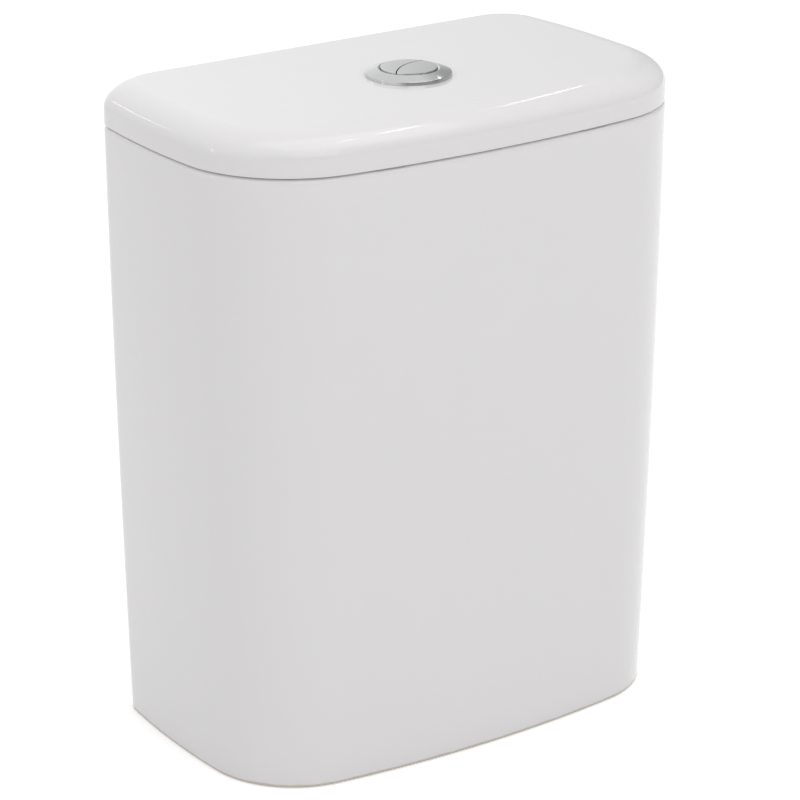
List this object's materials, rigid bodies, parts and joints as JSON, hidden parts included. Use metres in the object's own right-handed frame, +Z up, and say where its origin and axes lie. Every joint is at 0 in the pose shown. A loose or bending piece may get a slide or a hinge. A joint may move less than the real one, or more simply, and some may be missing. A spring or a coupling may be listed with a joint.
{
  "type": "toilet cistern",
  "caption": "Glazed ceramic close-coupled cistern with a lift-off lid, dual-flush push buttons, a flush valve, a fill valve and bolts to the pan.",
  "frame": {"origin": "on the ground under the middle of the body's overall box", "axes": "+Z up, -Y to the front, +Y to the wall, +X to the right seen from the front"},
  "size_m": [0.365, 0.2056, 0.4541],
  "materials": {
    "china": "glossy white glaze",
    "chrome": "bright chrome plate",
    "white_plastic": "moulded",
    "blue_plastic": "moulded",
    "grey_plastic": "moulded",
    "black_rubber": "matte",
    "grey_foam": "closed-cell foam",
    "clear_pad": "soft pad",
    "steel": "zinc plated"
  },
  "bodies": {
    "cistern": {"tank": "china", "lid_buffers": "clear_pad", "outlet_seat_washer": "black_rubber", "flush_valve_base": "white_plastic", "outlet_backnut": "white_plastic", "doughnut_washer": "grey_foam", "coupling_bolts": "steel", "bolt_cone_washers": "black_rubber", "bolt_inner_washers": "steel", "bolt_outer_rubbers": "black_rubber", "bolt_outer_washers": "steel", "wing_nuts": "grey_plastic", "valve_tower": "white_plastic", "tower_head": "blue_plastic", "lever_pins": "steel", "fill_shank": "white_plastic", "fill_shank_washer": "black_rubber", "fill_backnut": "white_plastic", "inlet_filter": "grey_plastic", "fill_riser": "white_plastic", "riser_lock_ring": "blue_plastic", "fill_head": "grey_plastic", "diaphragm": "black_rubber", "head_cap": "blue_plastic", "arm_pin": "steel"},
    "lid": {"lid": "china", "button_bezel": "chrome", "button_housing": "white_plastic", "housing_washer": "black_rubber", "housing_nut": "white_plastic", "full_button_spring": "steel", "half_button_spring": "steel"},
    "full_button": {"full_flush_button": "chrome", "full_flush_rod": "white_plastic"},
    "half_button": {"half_flush_button": "chrome", "half_flush_rod": "white_plastic"},
    "full_lever": {"full_flush_lever": "grey_plastic"},
    "half_lever": {"half_flush_lever": "grey_plastic"},
    "flush_piston": {"overflow_tube": "grey_plastic", "flush_seal": "black_rubber", "seal_retainer": "grey_plastic", "full_flush_float": "blue_plastic", "lift_yoke": "grey_plastic"},
    "half_link": {"half_lift_link": "grey_plastic"},
    "half_float": {"half_flush_float": "grey_plastic"},
    "fill_float": {"fill_float": "grey_plastic", "float_rod": "steel", "rod_clips": "blue_plastic"},
    "float_arm": {"float_arm": "grey_plastic"}
  },
  "joints": [
    {"name": "lid_lift", "type": "slide", "parent": "cistern", "child": "lid", "axis": [0, 0, 1], "range_m": [0, 0.15]},
    {"name": "full_button_press", "type": "slide", "parent": "lid", "child": "full_button", "axis": [0, 0, -1], "range_m": [0, 0.006], "stiffness_N_per_m": 300, "springref_m": -0.004, "deforming": ["full_button_spring"]},
    {"name": "half_button_press", "type": "slide", "parent": "lid", "child": "half_button", "axis": [0, 0, -1], "range_m": [0, 0.006], "stiffness_N_per_m": 300, "springref_m": -0.004, "deforming": ["half_button_spring"]},
    {"name": "full_lever_tilt", "type": "hinge", "parent": "cistern", "child": "full_lever", "pos_m": [-0.00484, -0.01687, 0.305], "axis": [-0.6481, 0.7615, 0], "range_deg": [0, 27.6]},
    {"name": "half_lever_tilt", "type": "hinge", "parent": "cistern", "child": "half_lever", "pos_m": [0.00134, 0.01598, 0.305], "axis": [0.6481, -0.7615, 0], "range_deg": [0, 27.6]},
    {"name": "half_link_lift", "type": "slide", "parent": "cistern", "child": "half_link", "axis": [0, 0, 1], "range_m": [0, 0.00925]},
    {"name": "piston_lift", "type": "slide", "parent": "half_link", "child": "flush_piston", "axis": [0, 0, 1], "range_m": [0, 0.00925]},
    {"name": "half_float_slide", "type": "slide", "parent": "cistern", "child": "half_float", "axis": [0, 0, 1], "range_m": [0, 0.04]},
    {"name": "fill_float_slide", "type": "slide", "parent": "cistern", "child": "fill_float", "axis": [0, 0, 1], "range_m": [0, 0.01424]},
    {"name": "float_arm_tilt", "type": "hinge", "parent": "cistern", "child": "float_arm", "pos_m": [0.124, 0.02, 0.364], "axis": [0, 1, 0], "range_deg": [0, 21.7]}
  ],
  "couplings": [
    {"joint": "full_lever_tilt", "follows": "full_button_press", "rad_per_m": 79.955},
    {"joint": "half_lever_tilt", "follows": "half_button_press", "rad_per_m": 79.955},
    {"joint": "piston_lift", "follows": "full_button_press", "ratio": 1.5385},
    {"joint": "half_link_lift", "follows": "half_button_press", "ratio": 1.5385},
    {"joint": "float_arm_tilt", "follows": "fill_float_slide", "rad_per_m": 26.472}
  ]
}
